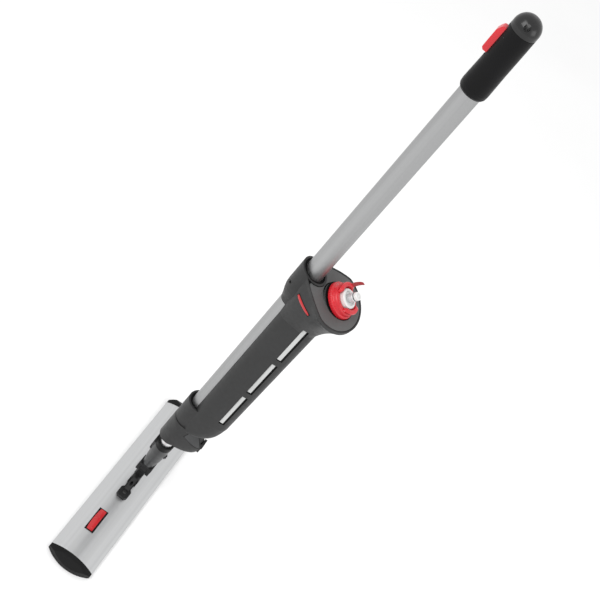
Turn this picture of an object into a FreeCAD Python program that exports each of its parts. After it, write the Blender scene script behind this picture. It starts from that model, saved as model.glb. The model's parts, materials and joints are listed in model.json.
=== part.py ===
import FreeCAD, Part
import math
import os

# Flat spray mop with a reservoir on the pole.
# Millimetres, +Z up.  The origin is on the floor under the middle of the mop frame.
# X runs along the mop frame, -Y is the spraying front, +Y faces the user.
# The pole stands upright on the middle of the frame.

V = FreeCAD.Vector
X_AXIS = V(1, 0, 0)
Y_AXIS = V(0, 1, 0)
Z_AXIS = V(0, 0, 1)

# ---------------------------------------------------------------- driving dimensions
FRAME_LENGTH = 444.0          # aluminium extrusion without the end caps
FRAME_WIDTH = 95.0
FRAME_TOP = 22.0              # crown of the arch above the floor
FRAME_EDGE = 8.0
ARCH_R = ((FRAME_WIDTH / 2) ** 2 + (FRAME_TOP - FRAME_EDGE) ** 2) / (2 * (FRAME_TOP - FRAME_EDGE))
SKIN = 2.2
STRIP_THICKNESS = 2.0
STRIP_WIDTH = 22.0
STRIP_PITCH = 29.0
BEAD_RADIUS = 1.5
CAP_BULGE_RADIUS = 82.0
CAP_REACH = 245.0             # furthest point of an end cap from the middle

FOOT_X = 47.0
FOOT_HALF = 13.0
BASE_TOP = 30.0
LUG_INNER = 11.5
LUG_OUTER = 17.5
PIN_RADIUS = 3.0
RUNNING_GAP = 0.05
TILT_Z = 40.0                 # axis along X, frame tips forwards and back
SIDE_Z = 70.0                 # axis along Y, frame tips sideways
KNUCKLE_R = 9.0
FORK_INNER = 9.0
FORK_OUTER = 15.0
FORK_R = 11.0
FORK_TOP = 95.0

SOCKET_TOP = 164.0
SOCKET_R_LOW = 12.5
SOCKET_R_MID = 15.6
SOCKET_R_HIGH = 17.0
RING_TOP = 179.0
RING_R = 17.5
ADAPTER_R = 13.0
ADAPTER_WALL = 2.0
ADAPTER_BOTTOM = 124.0
ADAPTER_TOP = 232.0
BUTTON_Z = 140.0
BUTTON_R = 4.0

TUBE_R = 17.0
TUBE_WALL = 1.45
TUBE_BOTTOM = 200.0
TUBE_TOP = 1209.5
ROD_R = 3.0
ROD_BOTTOM = 252.0
SLOT_LOW = 246.0              # slot in the tube front for the valve link
SLOT_HIGH = 268.0

HOSE_X = 7.5
HOSE_Y = -22.5

SHELL_WALL = 2.5
COLLAR_R = 25.5
COLLAR_GAP_R = 22.0            # open ring between the collars and the tube
COLLAR_GAP = 5.0
COLLAR_LOW_RIM = 334.0
COLLAR_RISE = 1.5             # upper collar rim above the top face
RESERVOIR_LOW = 330.0
RESERVOIR_HIGH = 650.0
BOTTLE_LOW = 300.0
BOTTLE_TOP = 703.0
BOTTLE_WALL = 1.6
NOZZLE_FRONT = -57.6
NOZZLE_BACK = -53.0
VALVE_Y = -33.0
WINDOW_LENGTH = 95.0
WINDOW_PITCH = 109.0
WINDOW_LOW = 350.0
WINDOW_WIDTH = 11.0
WINDOW_Y = -52.5
SCREW_Y = 20.8
SCREWS = ((236.0, 1), (312.0, 1), (712.0, -1), (741.0, 1))     # height, side of the head
LOBE_SLOPE = 16.0             # degrees, top face falls towards the front
LOBE_Z = 747.5                # height of the top face plane above the tube axis

CAP_CENTRE = V(0, -59.0, 729.5)
CAP_TILT = 27.5               # degrees, cap axis leans forwards
CAP_R = 31.0
CAP_BODY_R = 28.0
NIPPLE_R = 8.0
NIPPLE_ROOT_R = 7.2
NIPPLE_TOP = 32.5
COLLAR_TOP = 24.0
CAP_TOP = 18.0
POCKET_R = 32.8

GRIP_BOTTOM = 1159.0
GRIP_SEAM = 1266.5
GRIP_SHOULDER = 1271.8
GRIP_R_LOW = 21.7
GRIP_R_MID = 20.8
GRIP_R_HIGH = 20.2
GRIP_TOP = GRIP_SHOULDER + GRIP_R_HIGH
HANG_Z = 1281.0
HANG_R = 4.5
TRIGGER_PIVOT = V(0, 13.5, 1249.5)
TRIGGER_HALF = 6.5

SECTION_POINTS = 32

parts = {}


# ---------------------------------------------------------------- helpers
def box(x0, x1, y0, y1, z0, z1):
    return Part.makeBox(x1 - x0, y1 - y0, z1 - z0, V(x0, y0, z0))


def rod_z(radius, z0, z1, x=0.0, y=0.0):
    return Part.makeCylinder(radius, z1 - z0, V(x, y, z0), Z_AXIS)


def rod_x(radius, x0, x1, y, z):
    return Part.makeCylinder(radius, x1 - x0, V(x0, y, z), X_AXIS)


def rod_y(radius, y0, y1, x, z):
    return Part.makeCylinder(radius, y1 - y0, V(x, y0, z), Y_AXIS)


def tube_z(outer, inner, z0, z1):
    return rod_z(outer, z0, z1).cut(rod_z(inner, z0 - 1, z1 + 1))


def prism_yz(points, x0, x1):
    wire = Part.makePolygon([V(x0, y, z) for y, z in points + points[:1]])
    return Part.Face(wire).extrude(V(x1 - x0, 0, 0))


def prism_xz(points, y0, y1):
    wire = Part.makePolygon([V(x, y0, z) for x, z in points + points[:1]])
    return Part.Face(wire).extrude(V(0, y1 - y0, 0))


def prism_xy(points, z0, z1):
    wire = Part.makePolygon([V(x, y, z0) for x, y in points + points[:1]])
    return Part.Face(wire).extrude(V(0, 0, z1 - z0))


def lathe(points):
    """Solid of revolution about Z from (radius, z) points."""
    wire = Part.makePolygon([V(r, 0, z) for r, z in points + points[:1]])
    return Part.Face(wire).revolve(V(0, 0, 0), Z_AXIS, 360)


def join(shapes):
    solid = shapes[0].fuse(shapes[1:])
    return solid.removeSplitter()


def mirror_x(shape):
    return shape.mirror(V(0, 0, 0), X_AXIS)


def egg(centre_y, half_width, front, back, power_front, power_back, z, slope=0.0, inset=0.0):
    """Closed smooth outline, symmetric about X = 0, with its own roundness front and back."""
    points = []
    for step in range(SECTION_POINTS):
        angle = 2 * math.pi * (step + 0.5) / SECTION_POINTS
        c = math.cos(angle)
        s = math.sin(angle)
        power = power_back if s > 0 else power_front
        depth = (back if s > 0 else front) - inset
        x = (half_width - inset) * math.copysign(abs(c) ** (2 / power), c)
        y = centre_y + depth * math.copysign(abs(s) ** (2 / power), s)
        points.append(V(x, y, z + slope * y))
    curve = Part.BSplineCurve()
    curve.interpolate(Points=points, PeriodicFlag=True)
    return Part.Wire([curve.toShape()])


def loft(wires, ruled=False):
    return Part.makeLoft(wires, True, ruled)


def to_cap(shape):
    """Moves a shape built about Z onto the leaning filler cap axis."""
    placed = shape.copy()
    placed.rotate(V(0, 0, 0), X_AXIS, CAP_TILT)
    placed.translate(CAP_CENTRE)
    return placed


# ---------------------------------------------------------------- mop frame
def arch_solid(x0, x1, inset=0.0):
    """Length of the domed frame section; a negative inset makes it larger all round."""
    half = FRAME_WIDTH / 2 - inset
    radius = ARCH_R - inset
    middle = FRAME_TOP - ARCH_R
    base = STRIP_THICKNESS + inset
    edge = middle + math.sqrt(radius ** 2 - half ** 2)
    arc = Part.Arc(V(x0, half, edge), V(x0, 0, middle + radius), V(x0, -half, edge)).toShape()
    sides = Part.makePolygon([V(x0, -half, edge), V(x0, -half, base), V(x0, half, base), V(x0, half, edge)])
    return Part.Face(Part.Wire([arc] + sides.Edges)).extrude(V(x1 - x0, 0, 0))


def make_frame():
    half = FRAME_LENGTH / 2
    outer = arch_solid(-half, half)
    beads = [rod_x(BEAD_RADIUS, -half, half, side * (FRAME_WIDTH / 2 - 0.4), FRAME_EDGE - 1.2)
             for side in (-1, 1)]
    outer = join([outer] + beads)
    inner = arch_solid(-half - 1, half + 1, SKIN)
    web = box(-half, half, -1.2, 1.2, STRIP_THICKNESS, FRAME_TOP - SKIN / 2)
    frame = join([outer.cut(inner), web])
    for x in (-FOOT_X, FOOT_X):
        frame = frame.cut(rod_z(2.1, 3.5, FRAME_TOP + 1, x))
    parts["frame_extrusion"] = frame


def make_end_cap():
    start = FRAME_LENGTH / 2
    flange = arch_solid(start, CAP_REACH + 1, -0.8)
    flange = flange.common(rod_z(CAP_BULGE_RADIUS, 0, FRAME_TOP + 5, CAP_REACH - CAP_BULGE_RADIUS))
    slope = prism_xz([(start, FRAME_TOP + 9), (start, FRAME_TOP + 1.2), (start + 9, FRAME_TOP - 2),
                      (CAP_REACH + 2, FRAME_EDGE + 1.5), (CAP_REACH + 2, FRAME_TOP + 9)], -60, 60)
    flange = flange.cut(slope)
    plug = arch_solid(start - 12, start, SKIN + 0.1)
    plug = plug.cut(box(start - 13, start + 1, -1.4, 1.4, 0, FRAME_TOP))
    cap = join([flange, plug])
    parts["end_cap_right"] = cap
    parts["end_cap_left"] = mirror_x(cap)


def make_strips():
    half = FRAME_LENGTH / 2 - 4
    for name, side in (("hook_strip_front", -1), ("hook_strip_middle", 0), ("hook_strip_back", 1)):
        y0 = side * STRIP_PITCH - STRIP_WIDTH / 2
        parts[name] = box(-half, half, y0, y0 + STRIP_WIDTH, 0, STRIP_THICKNESS)


def make_swivel_base():
    feet = []
    for side in (-1, 1):
        cx = side * FOOT_X
        corner = FOOT_HALF * 0.55
        outline = [
            (cx - FOOT_HALF, -corner), (cx - corner, -FOOT_HALF + 1),
            (cx + corner, -FOOT_HALF + 1), (cx + FOOT_HALF, -corner),
            (cx + FOOT_HALF, corner), (cx + corner, FOOT_HALF - 1),
            (cx - corner, FOOT_HALF - 1), (cx - FOOT_HALF, corner),
        ]
        feet.append(prism_xy(outline, FRAME_TOP - 3, BASE_TOP))
        inner = side * LUG_INNER
        outer = side * LUG_OUTER
        feet.append(box(min(inner, outer), max(inner, outer), -9.5, 9.5, FRAME_TOP, TILT_Z))
        feet.append(rod_x(9.5, min(inner, outer), max(inner, outer), 0, TILT_Z))
        arm = [(side * (FOOT_X - 4), FRAME_TOP), (side * (FOOT_X - 6), BASE_TOP + 1.5),
               (outer, TILT_Z + 7.5), (side * (LUG_INNER + 1), FRAME_TOP)]
        feet.append(prism_xz(arm, -5.5, 5.5))
    spine = box(-FOOT_X, FOOT_X, -7.5, 7.5, FRAME_TOP - 3, BASE_TOP - 1)
    base = join([spine] + feet).cut(arch_solid(-FOOT_X - 20, FOOT_X + 20))
    # room for the knuckle between the lugs
    base = base.cut(box(-LUG_INNER, LUG_INNER, -14, 14, BASE_TOP - 1, TILT_Z + 20))
    base = base.cut(rod_x(PIN_RADIUS, -LUG_OUTER - 20, LUG_OUTER + 20, 0, TILT_Z))
    for x in (-FOOT_X, FOOT_X):
        base = base.cut(rod_z(2.1, FRAME_TOP - 1, BASE_TOP + 1, x))
    parts["swivel_base"] = base


def make_base_screws():
    for name, x in (("base_screw_left", -FOOT_X), ("base_screw_right", FOOT_X)):
        head = Part.makeCone(4.4, 3.2, 2.4, V(x, 0, BASE_TOP), Z_AXIS)
        shank = rod_z(2.05, FRAME_TOP - 8, BASE_TOP, x)
        screw = join([head, shank])
        recess = box(x - 2.6, x + 2.6, -0.5, 0.5, BASE_TOP + 1.3, BASE_TOP + 3)
        parts[name] = screw.cut(recess).cut(box(x - 0.5, x + 0.5, -2.6, 2.6, BASE_TOP + 1.3, BASE_TOP + 3))


def make_tilt_pin():
    shank = rod_x(PIN_RADIUS, -LUG_OUTER - 1, LUG_OUTER + 1, 0, TILT_Z)
    parts["tilt_pin"] = shank


def make_frame_label():
    blank = box(-161.5, -104, -1.2, 18.6, FRAME_TOP - 8, FRAME_TOP + 2)
    parts["frame_label_plate"] = blank.common(arch_solid(-170, -95, -0.8)).cut(arch_solid(-170, -95))


# ---------------------------------------------------------------- swivel knuckle
def make_knuckle():
    lower = rod_x(KNUCKLE_R, -LUG_INNER + 0.3, LUG_INNER - 0.3, 0, TILT_Z)
    upper = rod_y(KNUCKLE_R + 0.5, -FORK_INNER + 0.3, FORK_INNER - 0.3, 0, SIDE_Z)
    web = box(-8, 8, -7.5, 7.5, TILT_Z, SIDE_Z)
    knuckle = join([web, lower, upper])
    knuckle = knuckle.cut(rod_x(PIN_RADIUS + RUNNING_GAP, -20, 20, 0, TILT_Z))
    knuckle = knuckle.cut(rod_y(PIN_RADIUS, -20, 20, 0, SIDE_Z))
    parts["swivel_knuckle"] = knuckle


def make_cross_pin():
    parts["cross_pin"] = rod_y(PIN_RADIUS, -FORK_OUTER - 1.2, FORK_OUTER + 1.2, 0, SIDE_Z)


# ---------------------------------------------------------------- pole foot
def make_fork():
    arms = []
    for side in (-1, 1):
        y0 = min(side * FORK_INNER, side * FORK_OUTER)
        arms.append(rod_y(FORK_R, y0, y0 + FORK_OUTER - FORK_INNER, 0, SIDE_Z))
        arms.append(box(-FORK_R, FORK_R, y0, y0 + FORK_OUTER - FORK_INNER, SIDE_Z, SIDE_Z + 14))
    bridge = box(-FORK_R, FORK_R, -FORK_OUTER, FORK_OUTER, SIDE_Z + 13, FORK_TOP - 4)
    neck = rod_z(SOCKET_R_LOW, FORK_TOP - 5, FORK_TOP)
    fork = join(arms + [bridge, neck])
    fork = fork.cut(rod_y(PIN_RADIUS + RUNNING_GAP, -20, 20, 0, SIDE_Z))
    parts["pole_fork"] = fork


def make_socket():
    barrel = lathe([(0, FORK_TOP), (SOCKET_R_LOW, FORK_TOP), (SOCKET_R_MID, FORK_TOP + 24),
                    (SOCKET_R_HIGH, FORK_TOP + 52), (SOCKET_R_HIGH, SOCKET_TOP), (0, SOCKET_TOP)])
    pads = [rod_y(6.0, min(0, side * 18.2), max(0, side * 18.2), 0, BUTTON_Z) for side in (-1, 1)]
    rib = box(-5, 5, 10, 20.5, BUTTON_Z + 8, SOCKET_TOP)
    socket = join([barrel, rib] + pads)
    socket = socket.cut(rod_z(ADAPTER_R, ADAPTER_BOTTOM, SOCKET_TOP + 1))
    socket = socket.cut(rod_y(BUTTON_R + 0.1, -30, 30, 0, BUTTON_Z))
    parts["pole_socket"] = socket
    ring = lathe([(ADAPTER_R, SOCKET_TOP), (RING_R - 0.6, SOCKET_TOP), (RING_R, SOCKET_TOP + 2),
                  (RING_R, RING_TOP - 1.5), (RING_R - 1.5, RING_TOP), (ADAPTER_R, RING_TOP)])
    ear = box(-6.5, 6.5, 14, 20.8, SOCKET_TOP, RING_TOP - 2.5)
    parts["socket_ring"] = join([ring, ear])


def make_buttons():
    for name, side in (("latch_button_front", -1), ("latch_button_back", 1)):
        stem = rod_y(BUTTON_R, 9.0, 19.7, 0, BUTTON_Z)
        flange = rod_y(BUTTON_R + 1.2, 7.4, 9.4, 0, BUTTON_Z)
        button = join([stem, flange])
        if side < 0:
            button = button.mirror(V(0, 0, 0), Y_AXIS)
        parts[name] = button


def make_adapter():
    adapter = tube_z(ADAPTER_R, ADAPTER_R - ADAPTER_WALL, ADAPTER_BOTTOM, ADAPTER_TOP)
    parts["adapter_tube"] = adapter.cut(rod_y(BUTTON_R + 0.1, -30, 30, 0, BUTTON_Z))
    parts["tube_bushing"] = tube_z(TUBE_R - TUBE_WALL, ADAPTER_R, TUBE_BOTTOM, ADAPTER_TOP)


def make_main_tube():
    tube = tube_z(TUBE_R, TUBE_R - TUBE_WALL, TUBE_BOTTOM, TUBE_TOP)
    parts["main_tube"] = tube.cut(box(-4.5, 4.5, -TUBE_R - 2, 0, SLOT_LOW, SLOT_HIGH))
    for name, z in (("rod_guide_lower", 420.0), ("rod_guide_upper", 980.0)):
        parts[name] = tube_z(TUBE_R - TUBE_WALL, ROD_R + 0.3, z, z + 14)


# ---------------------------------------------------------------- housing
def pod_solid(inset=0.0):
    return loft([
        egg(0, 20.5, 44, COLLAR_R, 2.2, 2.0, 192 + inset, inset=inset),
        egg(0, 24.5, 53, COLLAR_R, 2.2, 2.0, 214, inset=inset),
        egg(0, 26.2, 57, COLLAR_R, 2.2, 2.0, 238, inset=inset),
        egg(0, 26.8, 47, COLLAR_R, 2.3, 2.0, 256, inset=inset),
        egg(0, 27.2, 32, COLLAR_R, 2.6, 2.0, 276 - inset, inset=inset),
    ])


def reservoir_foot(inset=0.0):
    return loft([
        egg(-9, 25.8, 26, 12.0, 2.4, 3.0, 268 + inset, inset=inset),
        egg(-22, 27.4, 33, 25.0, 2.6, 3.0, 282 + inset / 2, inset=inset),
        egg(-27, 28.0, 37, 30.5, 2.8, 3.0, 300, inset=inset),
        egg(-29, 28.2, 40, 32.5, 3.0, 3.0, RESERVOIR_LOW, inset=inset),
    ])


def reservoir_body(inset=0.0):
    return loft([
        egg(-29, 28.2, 40, 32.5, 3.0, 3.0, RESERVOIR_LOW, inset=inset),
        egg(-30, 28.5, 41, 33.5, 3.0, 3.0, RESERVOIR_HIGH, inset=inset),
    ], True)


def lobe_wire(inset=0.0, drop=0.0):
    slope = math.tan(math.radians(LOBE_SLOPE))
    return egg(-55.7, 64.2, 52.5, 80, 2.0, 1.25, LOBE_Z - drop, slope, inset)


def flare_solid(inset=0.0):
    slope = math.tan(math.radians(LOBE_SLOPE))
    foot = egg(-30, 28.5, 41, 33.5, 3.0, 3.0, RESERVOIR_HIGH, inset=inset)
    waist = egg(-37, 41.0, 47, 46.0, 2.4, 2.1, 694, slope * 0.6, inset=inset)
    flare = loft([foot, waist, lobe_wire(inset + 1, 7)])
    band = loft([lobe_wire(inset + 1, 7), lobe_wire(inset)], True)
    return join([flare, band])


def housing_outer():
    lower_gap = rod_z(COLLAR_GAP_R, COLLAR_LOW_RIM - COLLAR_GAP, COLLAR_LOW_RIM + 1)
    lower_collar = rod_z(COLLAR_R, 192, COLLAR_LOW_RIM).cut(lower_gap)
    upper_collar = lathe([(0, 668), (TUBE_R + 0.2, 668), (19.6, 678), (22.8, 688), (25.0, 698),
                          (COLLAR_R, 706), (COLLAR_R, 770), (0, 770)]).cut(above_lobe(COLLAR_RISE))
    solid = join([pod_solid(), lower_collar, reservoir_foot(), reservoir_body(), flare_solid(), upper_collar])
    floor_cut = prism_yz([(40, 170), (40, 199), (-70, 221), (-70, 170)], -60, 60)
    upper_gap = rod_z(COLLAR_GAP_R, 720, 800).common(above_lobe(COLLAR_RISE - COLLAR_GAP))
    return solid.cut(floor_cut).cut(upper_gap)


def housing_inner():
    inner = pod_solid(SHELL_WALL).cut(prism_yz([(40, 170), (40, 202.5), (-70, 224.5), (-70, 170)], -60, 60))
    middle = join([reservoir_foot(SHELL_WALL), reservoir_body(SHELL_WALL), flare_solid(SHELL_WALL)])
    return join([inner, middle])


def side_panel_outline(inset=0.0):
    return [(-16 - inset, 255), (-21 - inset * 0.7, 275 - inset), (-40, 267 - inset),
            (-64, 258 - inset), (-64, 233 + inset), (-50, 237 + inset)]


def label_band():
    """Slanting strip on the left flank that carries the plain label plate."""
    low = V(0, -3.0, 718.4)
    high = V(0, -37.5, 712.0)
    along = high.sub(low)
    across = V(0, -along.z, along.y)
    across.normalize()
    corners = [low, high, high.add(across * 7.4), low.add(across * 7.4)]
    return prism_yz([(p.y, p.z) for p in corners], -70, -10)


def above_lobe(shift):
    slope = math.tan(math.radians(LOBE_SLOPE))
    level = LOBE_Z + shift
    return prism_yz([(60, level + 60 * slope), (-60, level - 60 * slope), (-60, 830), (60, 830)], -60, 60)


def make_housing():
    outer = housing_outer()
    bore = join([rod_z(TUBE_R, TUBE_BOTTOM, 800), rod_z(ADAPTER_R + 0.3, 180, TUBE_BOTTOM + 1)])
    shell = outer.cut(housing_inner()).cut(bore)
    for side in (-1, 1):
        for index in range(3):
            low = WINDOW_LOW + index * WINDOW_PITCH
            x0 = min(side * 12, side * 42)
            shell = shell.cut(box(x0, x0 + 30, WINDOW_Y - WINDOW_WIDTH / 2, WINDOW_Y + WINDOW_WIDTH / 2,
                                  low, low + WINDOW_LENGTH))
    skin = pod_solid().cut(pod_solid(1.4))
    panel_skin = pod_solid(0.15).cut(pod_solid(1.4))
    for name, side in (("left", -1), ("right", 1)):
        x0, x1 = (-40, -9.5) if side < 0 else (9.5, 40)
        groove = prism_yz(side_panel_outline(), x0, x1)
        shell = shell.cut(groove.common(skin))
        x0, x1 = (-40, -10.6) if side < 0 else (10.6, 40)
        parts["side_panel_" + name] = prism_yz(side_panel_outline(1.3), x0, x1).common(panel_skin)
    shell = shell.cut(box(-8, 8, -62, -45, 222, 250))
    shell = shell.cut(label_band().common(flare_solid(-1).cut(flare_solid(0.8))))
    for z, side in SCREWS:
        shank = rod_x(1.9, min(-8 * side, 11 * side), max(-8 * side, 11 * side), SCREW_Y, z)
        head = rod_x(3.4, min(10 * side, 30 * side), max(10 * side, 30 * side), SCREW_Y, z)
        shell = shell.cut(shank).cut(head)
    for x in (-1, 1):
        half = box(min(0, x * 80), max(0, x * 80), -120, 40, 170, 800)
        name = "housing_left" if x < 0 else "housing_right"
        parts[name] = shell.common(half)


def bottle_solid(inset, low, high):
    body = loft([
        egg(-40, 20.5, 17, 18, 2.3, 3.0, low, inset=inset),
        egg(-43, 24.6, 22.8, 23.4, 2.3, 3.0, BOTTLE_LOW + 24, inset=inset),
        egg(-43, 24.6, 23.2, 23.4, 2.3, 3.0, RESERVOIR_HIGH, inset=inset),
    ], True)
    shoulder = loft([
        egg(-43, 24.6, 23.2, 23.4, 2.3, 3.0, RESERVOIR_HIGH, inset=inset),
        egg(-46, 31.0, 27.0, 26.0, 2.2, 2.4, 690, inset=inset),
        egg(-46, 31.0, 27.0, 26.0, 2.2, 2.4, high, inset=inset),
    ], True)
    return join([body, shoulder])


def make_bottle():
    solid = bottle_solid(0, BOTTLE_LOW + 1, BOTTLE_TOP)
    cavity = bottle_solid(BOTTLE_WALL + 0.2, BOTTLE_LOW + 3.2, BOTTLE_TOP - 2.5)
    bottle = solid.cut(cavity).cut(to_cap(rod_z(18.6, -60, 4)))
    parts["reservoir_bottle"] = bottle.cut(rod_z(1.6, BOTTLE_LOW - 5, BOTTLE_LOW + 4, HOSE_X, HOSE_Y))


def make_top_plate():
    deep = loft([lobe_wire(3.4, 18), lobe_wire(3.4, 0.4)], True)
    plate = loft([lobe_wire(3.4, 4.0), lobe_wire(3.4, 0.4)], True)
    pocket_wall = to_cap(tube_z(POCKET_R + 2, POCKET_R, -3.5, 14)).common(deep)
    boss = to_cap(lathe([(20.2, -8), (27, -8), (POCKET_R + 0.6, -3.5), (POCKET_R + 0.6, -0.2),
                         (25, -0.2), (24.4, 1.0), (20.2, 1.0)]))
    plate = join([plate.cut(to_cap(rod_z(POCKET_R, -20, 60))), boss, pocket_wall])
    plate = plate.cut(rod_z(COLLAR_R + 0.4, 700, 800)).cut(box(-70, 70, -6, 60, 700, 800))
    parts["top_plate"] = plate.common(flare_solid(SHELL_WALL + 0.2))
    parts["filler_neck"] = to_cap(lathe([(15, -44), (18.5, -44), (18.5, -9), (20.2, -9), (20.2, 4),
                                         (18.5, 5), (18.5, 9), (15, 9)]))
    parts["neck_gasket"] = to_cap(lathe([(20.2, 1.0), (23.5, 1.0), (23.5, 2.2), (20.2, 2.2)]))


def make_housing_screws():
    for index, (z, side) in enumerate(SCREWS):
        screw = join([rod_x(1.9, -8, 11, SCREW_Y, z), rod_x(3.3, 10, 12.6, SCREW_Y, z)])
        screw = screw.cut(box(11.6, 13, SCREW_Y - 2.4, SCREW_Y + 2.4, z - 0.45, z + 0.45))
        parts["housing_screw_" + str(index + 1)] = screw if side > 0 else mirror_x(screw)


def make_housing_label():
    parts["housing_label_plate"] = label_band().common(flare_solid(-0.5).cut(flare_solid(0.8)))


# ---------------------------------------------------------------- spray pod
def make_valve():
    body = join([rod_z(8.5, 221, 246, 0, VALVE_Y), rod_z(5.5, 246, 249, 0, VALVE_Y)])
    duct = rod_y(3.2, NOZZLE_BACK, VALVE_Y, 0, 236)
    inlet = rod_y(3.0, -36, HOSE_Y, HOSE_X, 228)
    body = join([body, duct, inlet])
    body = body.cut(rod_z(ROD_R + 0.1, 232, 252, 0, VALVE_Y))
    parts["spray_valve_body"] = body
    elbow = join([rod_z(3.4, 223, 250, HOSE_X, HOSE_Y), rod_z(2.2, 249, 256, HOSE_X, HOSE_Y)])
    parts["valve_inlet_barb"] = elbow.cut(rod_z(1.2, 226, 258, HOSE_X, HOSE_Y)).cut(inlet)
    hose = rod_z(3.6, 250, 292, HOSE_X, HOSE_Y).cut(rod_z(2.2, 249, 293, HOSE_X, HOSE_Y))
    parts["supply_hose"] = hose
    outlet = join([rod_z(2.2, 284, 292, HOSE_X, HOSE_Y), rod_z(3.4, 292, 300, HOSE_X, HOSE_Y),
                   rod_z(1.6, 299, 303, HOSE_X, HOSE_Y)])
    parts["bottle_outlet_barb"] = outlet.cut(rod_z(0.9, 280, 305, HOSE_X, HOSE_Y))


def make_nozzle():
    plate = box(-7.8, 7.8, NOZZLE_FRONT, NOZZLE_BACK, 222.2, 249.8)
    jets = []
    for x in (-4.8, 0, 4.8):
        plate = plate.cut(rod_y(1.6, NOZZLE_FRONT - 2, NOZZLE_BACK + 2, x, 236))
        jet = join([rod_y(1.6, NOZZLE_FRONT - 0.1, NOZZLE_BACK, x, 236),
                    rod_y(2.3, NOZZLE_FRONT - 1.2, NOZZLE_FRONT, x, 236)])
        jets.append(jet.cut(rod_y(0.6, NOZZLE_FRONT - 3, NOZZLE_BACK + 2, x, 236)))
    parts["nozzle_plate"] = plate
    for index, jet in enumerate(jets):
        parts["spray_jet_" + str(index + 1)] = jet


def make_pull_rod():
    hook = TRIGGER_PIVOT.z + 4.2
    shaft = rod_z(ROD_R, ROD_BOTTOM, hook + 0.3)
    parts["pull_rod"] = join([shaft, rod_z(4.6, hook, hook + 3)])
    link = join([box(-3, 3, VALVE_Y - 3.5, 0, ROD_BOTTOM, ROD_BOTTOM + 7),
                 rod_z(5, ROD_BOTTOM, ROD_BOTTOM + 7)])
    parts["valve_link"] = link.cut(rod_z(ROD_R, ROD_BOTTOM - 1, ROD_BOTTOM + 8))
    parts["valve_plunger"] = rod_z(ROD_R, 236, ROD_BOTTOM, 0, VALVE_Y)


# ---------------------------------------------------------------- filler cap
def make_filler_cap():
    body = lathe([(21.0, 2.2), (CAP_R - 1.0, 2.2), (CAP_R, 3.4), (CAP_R, 9.0), (CAP_R - 1.2, 10.3),
                  (CAP_BODY_R, 10.3), (CAP_BODY_R - 0.8, 16.2), (CAP_BODY_R - 2.2, CAP_TOP),
                  (16.8, CAP_TOP), (16.8, 10.6), (21.0, 9.4)])
    grips = []
    for step in range(24):
        angle = step * 15
        notch = box(CAP_R - 0.7, CAP_R + 2, -1.0, 1.0, 4.2, 8.0)
        notch.rotate(V(0, 0, 0), Z_AXIS, angle)
        grips.append(notch)
    parts["filler_cap"] = to_cap(body.cut(grips[0].fuse(grips[1:])))


def wing(centre_angle, spread, height, lip):
    ring = lathe([(18.6, CAP_TOP), (CAP_BODY_R - 2.4, CAP_TOP), (CAP_BODY_R - 1.0, height - 3),
                  (CAP_BODY_R - 3.0, height), (18.6, height)])
    reach = 40.0
    half = math.radians(spread / 2)
    wedge = prism_xy([(0, 0), (reach * math.cos(half), -reach * math.sin(half)), (reach * 1.3, 0),
                      (reach * math.cos(half), reach * math.sin(half))], 10, 40)
    piece = ring.common(wedge)
    if lip:
        tongue = box(CAP_BODY_R - 4.5, CAP_BODY_R + 6.5, -6.5, 6.5, height - 3.2, height)
        tip = box(CAP_BODY_R + 4.0, CAP_BODY_R + 6.5, -6.5, 6.5, height - 5.2, height - 3)
        piece = join([piece, tongue, tip])
    piece.rotate(V(0, 0, 0), Z_AXIS, centre_angle)
    return to_cap(piece)


def make_cap_fittings():
    parts["cap_wing_back"] = wing(68, 84, 27, True)
    parts["cap_wing_front"] = wing(248, 96, 25, False)
    bore = NIPPLE_ROOT_R
    collar = lathe([(bore, 6), (14, 6), (14, 10.5), (16.8, 10.8), (16.8, COLLAR_TOP - 1.4),
                    (15.4, COLLAR_TOP), (12.6, COLLAR_TOP), (11.2, COLLAR_TOP - 3), (bore, COLLAR_TOP - 3)])
    parts["cap_collar"] = to_cap(collar)
    stem = lathe([(4.2, 6), (bore, 6), (bore, COLLAR_TOP + 0.2), (NIPPLE_R, COLLAR_TOP + 0.2),
                  (NIPPLE_R, NIPPLE_TOP), (NIPPLE_R - 0.8, 33.6), (6.2, 33.6), (6.2, 38), (4.2, 38)])
    parts["nipple_stem"] = to_cap(stem)
    parts["nipple_oring"] = to_cap(lathe([(6.2, 33.6), (7.5, 33.8), (7.5, 35.2), (6.2, 35.4)]))
    parts["nipple_nose"] = to_cap(lathe([(6.2, 35.4), (7.2, 35.4), (7.2, 39.6), (6.4, 41), (4.2, 41),
                                         (4.2, 38), (6.2, 38)]))
    parts["nipple_poppet"] = to_cap(lathe([(0, 8), (2.2, 8), (2.2, 34), (4.1, 34), (4.1, 40.2), (0, 40.2)]))


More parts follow.
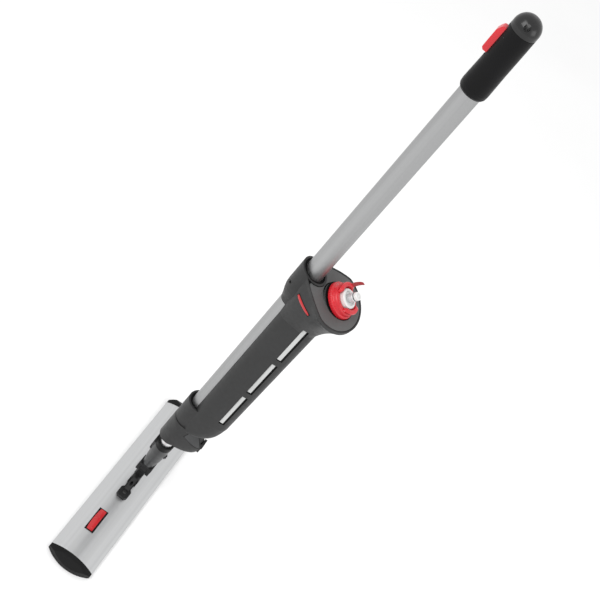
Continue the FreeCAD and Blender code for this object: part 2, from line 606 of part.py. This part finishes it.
# ---------------------------------------------------------------- handle
def make_grip():
    pivot = TRIGGER_PIVOT.z
    outer = lathe([(TUBE_R, GRIP_BOTTOM), (19.4, GRIP_BOTTOM), (GRIP_R_LOW - 0.6, GRIP_BOTTOM + 3),
                   (GRIP_R_LOW, GRIP_BOTTOM + 9), (GRIP_R_MID, GRIP_BOTTOM + 46),
                   (GRIP_R_MID - 0.3, pivot), (GRIP_R_HIGH, GRIP_SEAM), (0, GRIP_SEAM), (0, TUBE_TOP),
                   (TUBE_R, TUBE_TOP)])
    half = TRIGGER_HALF + 0.5
    pocket = box(-half, half, 7.0, 32, pivot - 38.5, pivot + 10.5)
    arm_room = box(-half, half, -7.0, 20, pivot - 8, pivot + 13)
    rod_room = rod_z(5.0, TUBE_TOP - 1, pivot + 14)
    grip = outer.cut(join([pocket, arm_room, rod_room]))
    grip = grip.cut(rod_x(1.6, -14, 14, TRIGGER_PIVOT.y, pivot))
    parts["handle_sleeve"] = grip
    arc = Part.Arc(V(GRIP_R_HIGH, 0, GRIP_SHOULDER), V(14.6, 0, GRIP_SHOULDER + 14.6), V(0, 0, GRIP_TOP))
    sides = Part.makePolygon([V(0, 0, GRIP_TOP), V(0, 0, GRIP_SEAM), V(GRIP_R_HIGH, 0, GRIP_SEAM),
                              V(GRIP_R_HIGH, 0, GRIP_SHOULDER)])
    profile = Part.Wire(sides.Edges + [arc.toShape()])
    dome = Part.Face(profile).revolve(V(0, 0, 0), Z_AXIS, 360)
    dome.rotate(V(0, 0, 0), Z_AXIS, 90)
    dome = dome.cut(rod_x(HANG_R, -30, 30, 0, HANG_Z))
    parts["handle_end_cap"] = dome


def make_trigger():
    py = TRIGGER_PIVOT.y
    pz = TRIGGER_PIVOT.z
    paddle = prism_yz([(14.0, pz - 33), (25.4, pz - 33), (28.4, pz - 30), (28.4, pz - 1), (26.6, pz + 4),
                       (24.4, pz + 8), (22.8, pz + 9), (14.0, pz + 9)], -TRIGGER_HALF, TRIGGER_HALF)
    boss = rod_x(4.6, -TRIGGER_HALF, TRIGGER_HALF, py, pz)
    arm = box(-6.0, 6.0, -4.0, py, pz - 2.6, pz + 2.6)
    trigger = join([paddle, boss, arm])
    trigger = trigger.cut(box(-ROD_R - 0.6, ROD_R + 0.6, -6, 5.5, pz - 4, pz + 4))
    parts["trigger"] = trigger.cut(rod_x(1.6 + RUNNING_GAP, -20, 20, py, pz))
    parts["trigger_pin"] = rod_x(1.6, -14, 14, py, pz)


def build():
    make_frame()
    make_end_cap()
    make_strips()
    make_swivel_base()
    make_base_screws()
    make_tilt_pin()
    make_frame_label()
    make_knuckle()
    make_cross_pin()
    make_fork()
    make_socket()
    make_buttons()
    make_adapter()
    make_main_tube()
    make_housing()
    make_bottle()
    make_top_plate()
    make_housing_screws()
    make_housing_label()
    make_valve()
    make_nozzle()
    make_pull_rod()
    make_filler_cap()
    make_cap_fittings()
    make_grip()
    make_trigger()


build()
os.makedirs("parts", exist_ok=True)
for name, shape in parts.items():
    shape.exportStep("parts/" + name + ".step")
    print(name, shape.isValid(), len(shape.Solids), round(shape.Volume / 1000, 2))
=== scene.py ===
import bmesh
import bpy
import json
import math
from mathutils import Matrix, Vector
from mathutils.bvhtree import BVHTree


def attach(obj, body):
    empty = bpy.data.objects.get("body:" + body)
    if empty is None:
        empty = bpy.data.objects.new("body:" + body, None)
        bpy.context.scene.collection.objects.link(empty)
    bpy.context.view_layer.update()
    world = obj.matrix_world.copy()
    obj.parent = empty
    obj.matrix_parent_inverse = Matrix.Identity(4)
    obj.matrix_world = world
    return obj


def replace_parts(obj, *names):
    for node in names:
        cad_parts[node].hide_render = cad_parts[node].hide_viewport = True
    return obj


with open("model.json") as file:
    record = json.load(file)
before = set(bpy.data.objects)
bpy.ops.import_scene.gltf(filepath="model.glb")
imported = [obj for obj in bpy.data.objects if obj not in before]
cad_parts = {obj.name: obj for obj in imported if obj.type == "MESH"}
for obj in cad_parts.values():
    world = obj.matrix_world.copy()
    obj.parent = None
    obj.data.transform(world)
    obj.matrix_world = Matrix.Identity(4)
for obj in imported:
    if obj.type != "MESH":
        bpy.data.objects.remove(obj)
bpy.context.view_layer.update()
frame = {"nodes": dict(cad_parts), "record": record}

MM = 0.001
nodes = frame["nodes"]

# ---------------------------------------------------------------- camera
TARGET = Vector((0.0, 0.0, 0.3))
AZIMUTH = math.radians(-92.9145)
ELEVATION = math.radians(41.0947)
ROLL = math.radians(41.3712)
DISTANCE = 1.956005
SHIFT_RIGHT = 0.199169
SHIFT_UP = 0.207787
LENS = 62.69


def make_camera():
    """Camera high on the left side, rolled so that the upright pole lies aslant in the picture."""
    back = Vector((math.sin(AZIMUTH) * math.cos(ELEVATION),
                   -math.cos(AZIMUTH) * math.cos(ELEVATION), math.sin(ELEVATION)))
    level = Vector((0, 0, 1)).cross(back).normalized()
    steep = back.cross(level)
    right = level * math.cos(ROLL) + steep * math.sin(ROLL)
    up = steep * math.cos(ROLL) - level * math.sin(ROLL)
    place = TARGET + back * DISTANCE + right * SHIFT_RIGHT + up * SHIFT_UP
    data = bpy.data.cameras.new("camera")
    data.sensor_width = 36.0
    data.lens = LENS
    data.clip_start = 0.05
    data.clip_end = 50.0
    camera = bpy.data.objects.new("camera", data)
    camera.matrix_world = Matrix((
        (right.x, up.x, back.x, place.x),
        (right.y, up.y, back.y, place.y),
        (right.z, up.z, back.z, place.z),
        (0, 0, 0, 1)))
    bpy.context.scene.collection.objects.link(camera)
    bpy.context.scene.camera = camera


make_camera()


# ---------------------------------------------------------------- materials
NOISE_LOW = 0.3                # most of a noise texture lies between these
NOISE_HIGH = 0.7
ROUGH_SPREAD = 0.06            # how far roughness wanders on plastic
BRUSH_SPREAD = 0.07            # and on metal
BRUSH_DEPTH = 0.00002
BROAD_BRUSH = 0.12             # scale of the colour streaks against the fine lines
PATCH_SCALE = 26.0             # plastic: patches of colour
GLOSS_SCALE = 140.0            # plastic: patches of gloss


class Tree:
    """Short names for building a node material around one Principled shader."""

    def __init__(self, name):
        self.material = bpy.data.materials.new(name)
        self.material.use_nodes = True
        self.nodes = self.material.node_tree.nodes
        self.links = self.material.node_tree.links
        self.shader = self.nodes["Principled BSDF"]
        self.coords = self.nodes.new("ShaderNodeTexCoord").outputs["Object"]

    def set(self, **values):
        for name, value in values.items():
            self.shader.inputs[name.replace("_", " ")].default_value = value

    def join(self, output, target):
        self.links.new(output, target)

    def stretched(self, scale):
        node = self.nodes.new("ShaderNodeMapping")
        node.inputs["Scale"].default_value = scale
        self.join(self.coords, node.inputs["Vector"])
        return node.outputs["Vector"]

    def noise(self, scale, detail=3.0, stretch=None):
        node = self.nodes.new("ShaderNodeTexNoise")
        node.inputs["Scale"].default_value = scale
        node.inputs["Detail"].default_value = detail
        vector = self.stretched(stretch) if stretch else self.coords
        self.join(vector, node.inputs["Vector"])
        return node.outputs["Fac"]

    def ranged(self, value, low, high):
        node = self.nodes.new("ShaderNodeMapRange")
        node.inputs["From Min"].default_value = NOISE_LOW
        node.inputs["From Max"].default_value = NOISE_HIGH
        node.inputs["To Min"].default_value = low
        node.inputs["To Max"].default_value = high
        self.join(value, node.inputs["Value"])
        return node.outputs["Result"]

    def mixed(self, factor, first, second):
        node = self.nodes.new("ShaderNodeMix")
        node.data_type = "RGBA"
        node.inputs["A"].default_value = (*first, 1)
        node.inputs["B"].default_value = (*second, 1)
        self.join(factor, node.inputs["Factor"])
        return node.outputs["Result"]

    def bump(self, height, depth):
        node = self.nodes.new("ShaderNodeBump")
        node.inputs["Distance"].default_value = depth
        node.inputs["Strength"].default_value = 1.0
        self.join(height, node.inputs["Height"])
        return node.outputs["Normal"]


def shade(colour, factor):
    return tuple(min(1.0, c * factor) for c in colour)


def plastic(name, colour, rough, grain=1400.0, depth=0.00006, mottle=0.10, level=0.5):
    """Moulded plastic: a little uneven in colour and gloss, with a fine grain."""
    tree = Tree(name)
    tree.set(Specular_IOR_Level=level)
    patches = tree.ranged(tree.noise(PATCH_SCALE, 4.0), 0.0, 1.0)
    tree.join(tree.mixed(patches, shade(colour, 1 - mottle), shade(colour, 1 + mottle)),
              tree.shader.inputs["Base Color"])
    speck = tree.noise(grain, 2.0)
    tree.join(tree.ranged(tree.noise(GLOSS_SCALE, 5.0), rough - ROUGH_SPREAD, rough + ROUGH_SPREAD),
              tree.shader.inputs["Roughness"])
    tree.join(tree.bump(speck, depth), tree.shader.inputs["Normal"])
    return tree.material


def metal(name, colour, rough, stretch, streak=0.05, metallic=1.0):
    """Brushed metal: fine lines along the direction in which the noise is stretched."""
    tree = Tree(name)
    tree.set(Metallic=metallic)
    lines = tree.noise(1.0, 4.0, stretch)
    broad = tree.noise(1.0, 2.0, tuple(s * BROAD_BRUSH for s in stretch))
    patches = tree.ranged(broad, 0.0, 1.0)
    tree.join(tree.mixed(patches, shade(colour, 1 - streak), shade(colour, 1 + streak)),
              tree.shader.inputs["Base Color"])
    tree.join(tree.ranged(lines, rough - BRUSH_SPREAD, rough + BRUSH_SPREAD), tree.shader.inputs["Roughness"])
    tree.join(tree.bump(lines, BRUSH_DEPTH), tree.shader.inputs["Normal"])
    return tree.material


ALONG_X = (3.0, 900.0, 900.0)
ALONG_Z = (900.0, 900.0, 3.0)
EVERY_WAY = (400.0, 400.0, 400.0)

materials = {
    "satin_aluminium": metal("satin_aluminium", (0.60, 0.605, 0.61), 0.42, ALONG_X),
    "tube_aluminium": metal("tube_aluminium", (0.375, 0.378, 0.38), 0.46, ALONG_Z, streak=0.04),
    "bright_aluminium": metal("bright_aluminium", (0.75, 0.75, 0.755), 0.30, ALONG_Z),
    "steel_pin": metal("steel_pin", (0.42, 0.42, 0.43), 0.3, EVERY_WAY),
    "zinc_screw": metal("zinc_screw", (0.10, 0.10, 0.10), 0.35, EVERY_WAY),
    "housing_grey": plastic("housing_grey", (0.021, 0.0212, 0.0214), 0.48, mottle=0.07, level=0.32),
    "plate_grey": plastic("plate_grey", (0.088, 0.089, 0.089), 0.5, mottle=0.07, level=0.4),
    "panel_grey": plastic("panel_grey", (0.034, 0.035, 0.036), 0.45, mottle=0.07, level=0.4),
    "seam_black": plastic("seam_black", (0.006, 0.006, 0.006), 0.7, level=0.1),
    "socket_grey": plastic("socket_grey", (0.031, 0.032, 0.033), 0.38),
    "joint_black": plastic("joint_black", (0.010, 0.010, 0.0105), 0.5, level=0.3),
    "cap_black": plastic("cap_black", (0.0045, 0.0045, 0.0047), 0.45, level=0.16),
    "handle_black": plastic("handle_black", (0.0045, 0.0045, 0.0048), 0.42, level=0.14),
    "handle_gloss": plastic("handle_gloss", (0.006, 0.006, 0.0062), 0.24, depth=0.00002, level=0.5),
    "red_plastic": plastic("red_plastic", (0.58, 0.014, 0.024), 0.26, depth=0.00003),
    # Darker copy of the cap's red, used as painted shade on the cap's lever.
    "red_painted_shade": plastic("red_painted_shade", (0.30, 0.006, 0.010), 0.34, depth=0.00003),
    "label_red": plastic("label_red", (0.46, 0.018, 0.022), 0.25, depth=0.00001),
    "bottle_clear": plastic("bottle_clear", (0.55, 0.56, 0.57), 0.35, depth=0.00002),
    "pale_plastic": plastic("pale_plastic", (0.70, 0.70, 0.69), 0.3, depth=0.00002, mottle=0.04),
    "nipple_grey": metal("nipple_grey", (0.62, 0.63, 0.64), 0.42, EVERY_WAY, metallic=0.6),
    "sight_pale": plastic("sight_pale", (0.50, 0.505, 0.50), 0.3, depth=0.00002, mottle=0.05),
    "seal_black": plastic("seal_black", (0.02, 0.02, 0.02), 0.5),
    "hook_black": plastic("hook_black", (0.03, 0.03, 0.032), 0.9, grain=700.0, depth=0.0006),
    "hose_clear": plastic("hose_clear", (0.4, 0.4, 0.38), 0.4),
}

# Nodes whose finish differs from the record's own slot
OTHER_LOOK = {
    "main_tube": "tube_aluminium",
    "handle_end_cap": "handle_gloss",
    "frame_label_plate": "seam_black",
    "housing_label_plate": "seam_black",
    "side_panel_left": "panel_grey",
    "side_panel_right": "panel_grey",
}
for part in frame["record"]["subparts"]:
    for slot in nodes[part["node"]].material_slots:
        slot.material = materials[OTHER_LOOK.get(part["node"], part["material_slot"])]


# ---------------------------------------------------------------- detailed pieces
# The part's own dimensions, in millimetres
CAP_CENTRE = Vector((0.0, -59.0, 729.5))
CAP_TILT = Matrix.Rotation(math.radians(27.5), 3, "X")
CAP_R = 31.0
CAP_BODY_R = 28.0
CAP_TOP = 18.0
POCKET_R = 32.8
LOBE_SLOPE = math.tan(math.radians(16.0))
LOBE_Z = 747.5
TUBE_R = 17.0
COLLAR_GAP_R = 22.0
LOWER_GAP_FLOOR = 329.0
UPPER_GAP_FLOOR = 744.0
GRIP_SEAM = 1266.5
GRIP_R = 20.2
SHELL_MIDDLE_Y = -29.6
SHELL_HALF_DEPTH = 40.6
SHELL_HALF_WIDTH = 28.4
WINDOW_LOW = 350.0
WINDOW_PITCH = 109.0
WINDOW_LENGTH = 95.0
ARCH_HALF_WIDTH = 47.5
ARCH_RISE = 14.0
FRAME_TOP = 22.0

# Detail that the part leaves out
CAP_STEPS = 144
RIB_DEPTH = 0.7
SHARP_ANGLE = math.radians(40)
BEVEL_ANGLE = math.radians(35)


def on_cap(point):
    """From the cap's own frame to the object's frame."""
    return CAP_CENTRE + CAP_TILT @ Vector(point)


def piece(name, points, faces, look, body, bevel=0.0):
    """A mesh from millimetre points, given a finish and tied to a body."""
    mesh = bpy.data.meshes.new(name)
    mesh.from_pydata([tuple(Vector(p) * MM) for p in points], [], faces)
    build = bmesh.new()
    build.from_mesh(mesh)
    bmesh.ops.recalc_face_normals(build, faces=build.faces)
    build.to_mesh(mesh)
    build.free()
    thing = bpy.data.objects.new(name, mesh)
    bpy.context.scene.collection.objects.link(thing)
    mesh.materials.append(materials[look])
    mesh.shade_smooth()
    mesh.set_sharp_from_angle(angle=SHARP_ANGLE)
    if bevel:
        soften(thing, bevel)
    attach(thing, body)
    return thing


def soften(thing, width):
    """Rounds the sharp edges of a piece by a width in millimetres."""
    bevel = thing.modifiers.new("soften", "BEVEL")
    bevel.width = width * MM
    bevel.segments = 2
    bevel.limit_method = "ANGLE"
    bevel.angle_limit = BEVEL_ANGLE
    bevel.harden_normals = True


def skin_rows(rows, joined=False):
    """Quads between equal rows of points, each row a loop; joined also links the last row to the first."""
    count = len(rows[0])
    faces = []
    pairs = len(rows) if joined else len(rows) - 1
    for r in range(pairs):
        a = r * count
        b = ((r + 1) % len(rows)) * count
        for c in range(count):
            d = (c + 1) % count
            faces.append((a + c, a + d, b + d, b + c))
    return [p for row in rows for p in row], faces


def lofted(name, rows, look, body, bevel=0.0):
    """Solid skinned over rows of points, with a face at each end."""
    points, faces = skin_rows(rows)
    count = len(rows[0])
    last = (len(rows) - 1) * count
    faces.append(tuple(range(count)))
    faces.append(tuple(last + k for k in range(count)))
    return piece(name, points, faces, look, body, bevel=bevel)


def turned(name, profile, look, body, place=None, steps=96, shape=None):
    """Closed ring turned from (radius, height) points; shape may change the radius with the angle."""
    rows = []
    for step in range(steps):
        angle = 2 * math.pi * step / steps
        row = []
        for radius, height in profile:
            r = shape(radius, height, step) if shape else radius
            point = (r * math.cos(angle), r * math.sin(angle), height)
            row.append(place(point) if place else point)
        rows.append(row)
    points, faces = skin_rows(rows, joined=True)
    return piece(name, points, faces, look, body)


def band(name, inner, outer, low, high, place=None, chamfer=0.0):
    """Thin dark ring on the pole body, used for a real seam line and as painted shade in gaps and pockets;
    chamfer lowers its inner edge.
    """
    profile = [(inner, low), (outer, low), (outer, high), (inner, high - chamfer)]
    return turned(name, profile, "seam_black", "pole", place)


def ribbed(radius, height, step):
    """Every third step of the rim is a groove."""
    return radius - RIB_DEPTH if radius > CAP_R - 0.5 and step % 3 == 0 else radius


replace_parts(turned("filler_cap_shell", [
    (21.0, 2.5), (CAP_R - 1.0, 2.5), (CAP_R - 0.3, 2.9), (CAP_R, 3.6), (CAP_R, 8.4), (CAP_R - 0.4, 9.4),
    (29.6, 10.1), (28.4, 10.4), (CAP_BODY_R, 11.0), (CAP_BODY_R - 0.3, 15.0), (CAP_BODY_R - 0.8, 16.8),
    (26.2, CAP_TOP - 0.2), (24.8, CAP_TOP), (19.6, CAP_TOP), (18.0, CAP_TOP - 0.6),
    (17.1, 16.0), (16.9, 10.7), (21.0, 9.5)], "red_plastic", "cap", on_cap, CAP_STEPS, ribbed), "filler_cap")


def tongue_rows(angle, top):
    """Sections of the lever that rises from the end of a finger bar, turning a little as it goes."""
    path = [(24.0, top - 1.6), (27.0, top + 2.4), (29.4, top + 6.2), (31.2, top + 9.8), (32.2, top + 12.8)]
    rows = []
    for k, (reach, height) in enumerate(path):
        half = 5.0 - 0.12 * k * k
        thick = 1.5 - 0.16 * k
        ring = [(reach, -half, height - thick), (reach, -half * 0.86, height + thick * 0.6),
                (reach, 0.0, height + thick * 0.8), (reach, half * 0.86, height + thick * 0.6),
                (reach, half, height - thick), (reach, 0.0, height - thick)]
        turn = Matrix.Rotation(math.radians(angle - 4.5 * k), 3, "Z")
        rows.append([on_cap(turn @ Vector(q)) for q in ring])
    return rows


def wing(name, centre, spread, top):
    """Raised finger grip on the cap: a curved bar with rounded ends."""
    steps = 28
    foot = CAP_TOP - 0.4
    inner, outer = 19.2, 26.9
    least_lift = 0.25          # how much of the height is left at the rounded ends
    rows = []
    for step in range(steps + 1):
        t = 2.0 * step / steps - 1.0
        angle = math.radians(centre + t * spread / 2)
        lift = (1.0 - abs(t) ** 6) ** 0.5
        height = foot + (top - foot) * max(least_lift, lift)
        squeeze = 0.6 * (1.0 - lift)
        near = inner + squeeze
        far = outer - squeeze
        section = [(near, foot - 0.2), (far - 1.5, foot - 0.2), (far - 0.3, height - 3.2),
                   (far, height - 1.6), (far - 0.9, height - 0.3), (far - 2.5, height),
                   (near + 1.6, height), (near + 0.4, height - 0.6), (near, height - 2.0)]
        rows.append([on_cap((r * math.cos(angle), r * math.sin(angle), h)) for r, h in section])
    return lofted(name, rows, "red_plastic", "cap")


BACK_WING_TOP = 26.6
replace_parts(wing("cap_wing_back_bar", 62, 112, BACK_WING_TOP), "cap_wing_back")
# The lever is drawn in a darker copy of the cap's red: painted shade.
lofted("cap_wing_back_bar_hook", tongue_rows(26, BACK_WING_TOP), "red_painted_shade", "cap")
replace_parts(wing("cap_wing_front_bar", 246, 104, 24.8), "cap_wing_front")
# Black ring on the floor of the cap's pocket: painted shade in the pocket round the cap.
band("cap_well_painted_shade", 25.2, POCKET_R - 0.2, -0.1, 0.3, on_cap)


# ---------------------------------------------------------------- reservoir windows, with painted shade in their recesses
def shell_half_width(y):
    """Half width of the reservoir at a depth along Y."""
    away = min(0.98, abs(y - SHELL_MIDDLE_Y) / SHELL_HALF_DEPTH)
    return SHELL_HALF_WIDTH * (1 - away ** 3) ** (1 / 3)


def window_bar(name, side, y0, y1, z0, z1, sink, look):
    """Bar that follows the side of the reservoir inside a window."""
    steps = 6
    thick = 2.2
    rows = []
    for step in range(steps + 1):
        y = y0 + (y1 - y0) * step / steps
        outer = side * (shell_half_width(y) - sink)
        inner = outer - side * thick
        rows.append([(outer, y, z0), (outer, y, z1), (inner, y, z1), (inner, y, z0)])
    lofted(name, rows, look, "pole", bevel=0.35)


WINDOW_FRONT = -57.9
WINDOW_BACK = -47.1
STRIP_FRONT = -54.2            # the dark reveal lies in front of the pale strip
FLARED_WINDOW = 2              # the top window, where the housing starts to widen
for side, tag in ((-1, "left"), (1, "right")):
    for index in range(3):
        low = WINDOW_LOW + WINDOW_PITCH * index
        top = low + WINDOW_LENGTH
        sink = 1.5 - (1.4 if index == FLARED_WINDOW else 0.0)
        dark_sink = sink + 0.4
        mark = tag + "_" + str(index + 1)
        window_bar("sight_strip_" + mark, side, STRIP_FRONT, WINDOW_BACK, low + 2.6, top - 0.4,
                   sink, "sight_pale")
        # Black bars in front of and under the pale strip: painted shade in the window recesses.
        window_bar("sight_shade_" + mark, side, WINDOW_FRONT, STRIP_FRONT - 0.1, low + 0.1, top - 0.1,
                   dark_sink, "seam_black")
        window_bar("sight_foot_shade_" + mark, side, STRIP_FRONT, WINDOW_BACK, low + 0.1, low + 2.5,
                   dark_sink, "seam_black")


# ---------------------------------------------------------------- seams, and painted shade in the collar gaps
def top_outline(inset):
    """Outline of the top face, an egg of two superellipse halves, as in the part."""
    steps = 160
    centre_y = -55.7
    half_width, front, back = 64.2, 52.5, 80.0
    power_front, power_back = 2.0, 1.25
    outline = []
    for step in range(steps):
        angle = 2 * math.pi * (step + 0.5) / steps
        c, s = math.cos(angle), math.sin(angle)
        power = power_back if s > 0 else power_front
        depth = (back if s > 0 else front) - inset
        outline.append(((half_width - inset) * math.copysign(abs(c) ** (2 / power), c),
                        centre_y + depth * math.copysign(abs(s) ** (2 / power), s)))
    return outline


def sloped(point):
    """Shears a point along the slope of the top face."""
    x, y, z = point
    return (x, y, z + LOBE_SLOPE * y)


def top_face_seam():
    """Dark line round the top face, open towards the tube's collar."""
    behind = -14.0             # the line stops here on both sides
    middle = -40.0             # the points are put in order round this depth
    edge_drop, inner_drop, floor_drop = 0.15, 0.30, 2.4
    pairs = [(a, b) for a, b in zip(top_outline(1.7), top_outline(3.6)) if a[1] < behind]
    pairs.sort(key=lambda pair: math.atan2(pair[0][0], middle - pair[0][1]))
    rows = [[sloped((*a, LOBE_Z - edge_drop)), sloped((*b, LOBE_Z - inner_drop)),
             sloped((*b, LOBE_Z - floor_drop)), sloped((*a, LOBE_Z - floor_drop))] for a, b in pairs]
    points, faces = skin_rows(rows)
    piece("top_face_seam", points, faces, "seam_black", "pole")


top_face_seam()
# Black rings at the floor of the collar gaps: painted shade deep in the gaps between tube and collar. The
# grip seam below is a real seam line.
for tag, low, high, place in (("lower", LOWER_GAP_FLOOR + 0.2, LOWER_GAP_FLOOR + 3.4, None),
                              ("upper", UPPER_GAP_FLOOR + 0.2, UPPER_GAP_FLOOR + 3.2, sloped)):
    band(tag + "_collar_gap_shade", TUBE_R + 0.1, COLLAR_GAP_R - 0.1, low, high, place, 0.8)
band("grip_seam", GRIP_R - 0.6, GRIP_R + 0.1, GRIP_SEAM - 0.4, GRIP_SEAM + 0.4)


# ---------------------------------------------------------------- label inlays
def arch_height(y):
    """Height of the frame's arched top at a distance from its middle."""
    radius = (ARCH_HALF_WIDTH ** 2 + ARCH_RISE ** 2) / (2 * ARCH_RISE)
    return FRAME_TOP - radius + math.sqrt(radius ** 2 - y ** 2)


def frame_inlay():
    """Plain red inlay over the dark plate on the frame, with one bowed long side."""
    steps, across = 12, 8
    start, length = -159.6, 53.6
    near_edge, far_edge, bow = 2.4, 14.6, 2.2
    lift, crown, foot = 1.15, 0.55, 0.4
    rows = []
    for step in range(steps + 1):
        x = start + length * step / steps
        far = far_edge + bow * (1.0 - (2.0 * step / steps - 1.0) ** 2)
        row = []
        for k in range(across + 1):
            y = near_edge + (far - near_edge) * k / across
            rise = lift + crown * math.sin(math.pi * k / across)
            row.append((x, y, arch_height(y) + rise))
        back = [(x, y, arch_height(y) + foot) for y in (far, near_edge)]
        rows.append(row + back)
    lofted("frame_label_inlay", rows, "label_red", "frame")


def housing_inlay():
    """Plain red inlay over the dark plate on the left flank, laid on the plate's own curve."""
    plate = nodes["housing_label_plate"].data
    plate_points = [v.co for v in plate.vertices]
    skin = BVHTree.FromPolygons(plate_points, [tuple(f.vertices) for f in plate.polygons])
    middle = sum(plate_points, Vector()) / len(plate_points)
    along = Vector((0.0, -34.5, -6.4)).normalized()
    across = Vector((0.0, 6.4, -34.5)).normalized()
    half_length = 0.93 * max(abs((q - middle).dot(along)) for q in plate_points)
    half_width = 0.80 * max(abs((q - middle).dot(across)) for q in plate_points)
    outside = -0.2
    steps, columns = 20, 8
    lift, crown, depth = 0.15, 1.1, 0.5
    rows = []
    for step in range(steps + 1):
        t = 2.0 * step / steps - 1.0
        half = half_width * (1.0 - 0.5 * abs(t) ** 8)
        row = []
        for k in range(columns + 1):
            spot = middle + along * half_length * t + across * half * (2.0 * k / columns - 1.0)
            hit = skin.ray_cast(Vector((outside, spot.y, spot.z)), Vector((1, 0, 0)))[0]
            if hit is not None:
                rise = lift + crown * math.sin(math.pi * k / columns)
                row.append((hit.x / MM - rise, hit.y / MM, hit.z / MM))
        if len(row) == columns + 1:
            back = [(q[0] + depth, q[1], q[2]) for q in (row[-1], row[0])]
            rows.append(row + back)
    lofted("housing_label_inlay", rows, "label_red", "pole")


frame_inlay()
housing_inlay()

# ---------------------------------------------------------------- softened edges of the CAD nodes
EDGE_WIDTHS = {
    0.4: ("top_plate", "cap_collar", "side_panel_left", "side_panel_right"),
    0.5: ("housing_left", "housing_right", "socket_ring", "handle_sleeve", "handle_end_cap"),
    0.6: ("swivel_base", "pole_fork"),
    0.9: ("trigger",),
    1.2: ("end_cap_left", "end_cap_right"),
}
for width, softened in EDGE_WIDTHS.items():
    for node in softened:
        soften(nodes[node], width)


# ---------------------------------------------------------------- floor and light
FLOOR_REACH = 12.0             # metres each way
FLOOR_DROP = 0.0005            # keeps the floor clear of the hook strips


def make_floor():
    mesh = bpy.data.meshes.new("floor")
    corners = [(-FLOOR_REACH, -FLOOR_REACH, 0), (FLOOR_REACH, -FLOOR_REACH, 0),
               (FLOOR_REACH, FLOOR_REACH, 0), (-FLOOR_REACH, FLOOR_REACH, 0)]
    mesh.from_pydata(corners, [], [(0, 1, 2, 3)])
    floor = bpy.data.objects.new("floor", mesh)
    bpy.context.scene.collection.objects.link(floor)
    floor.location.z = -FLOOR_DROP
    tree = Tree("floor_pale")
    tree.set(Specular_IOR_Level=0.0, Roughness=0.9)
    tree.join(tree.mixed(tree.ranged(tree.noise(1.5), 0.0, 1.0), (0.93, 0.93, 0.93), (0.95, 0.95, 0.95)),
              tree.shader.inputs["Base Color"])
    mesh.materials.append(tree.material)


def make_light(name, size, power, place, aim):
    data = bpy.data.lights.new(name, "AREA")
    data.shape = "RECTANGLE"
    data.size, data.size_y = size
    data.energy = power
    light = bpy.data.objects.new(name, data)
    light.location = place
    light.rotation_mode = "QUATERNION"
    light.rotation_quaternion = (Vector(aim) - Vector(place)).to_track_quat("-Z", "Y")
    bpy.context.scene.collection.objects.link(light)


make_floor()
world = bpy.data.worlds.new("studio")
world.use_nodes = True
sky = world.node_tree.nodes["Background"]
sky.inputs["Color"].default_value = (1, 1, 1, 1)
sky.inputs["Strength"].default_value = 0.95
bpy.context.scene.world = world
make_light("key", size=(2.4, 2.4), power=60.0, place=(-2.2, 1.6, 3.2), aim=(0, 0, 0.5))
make_light("fill", size=(2.0, 2.0), power=20.0, place=(-1.2, -3.0, 2.0), aim=(0, 0, 0.6))
bpy.context.scene.view_settings.view_transform = "Standard"
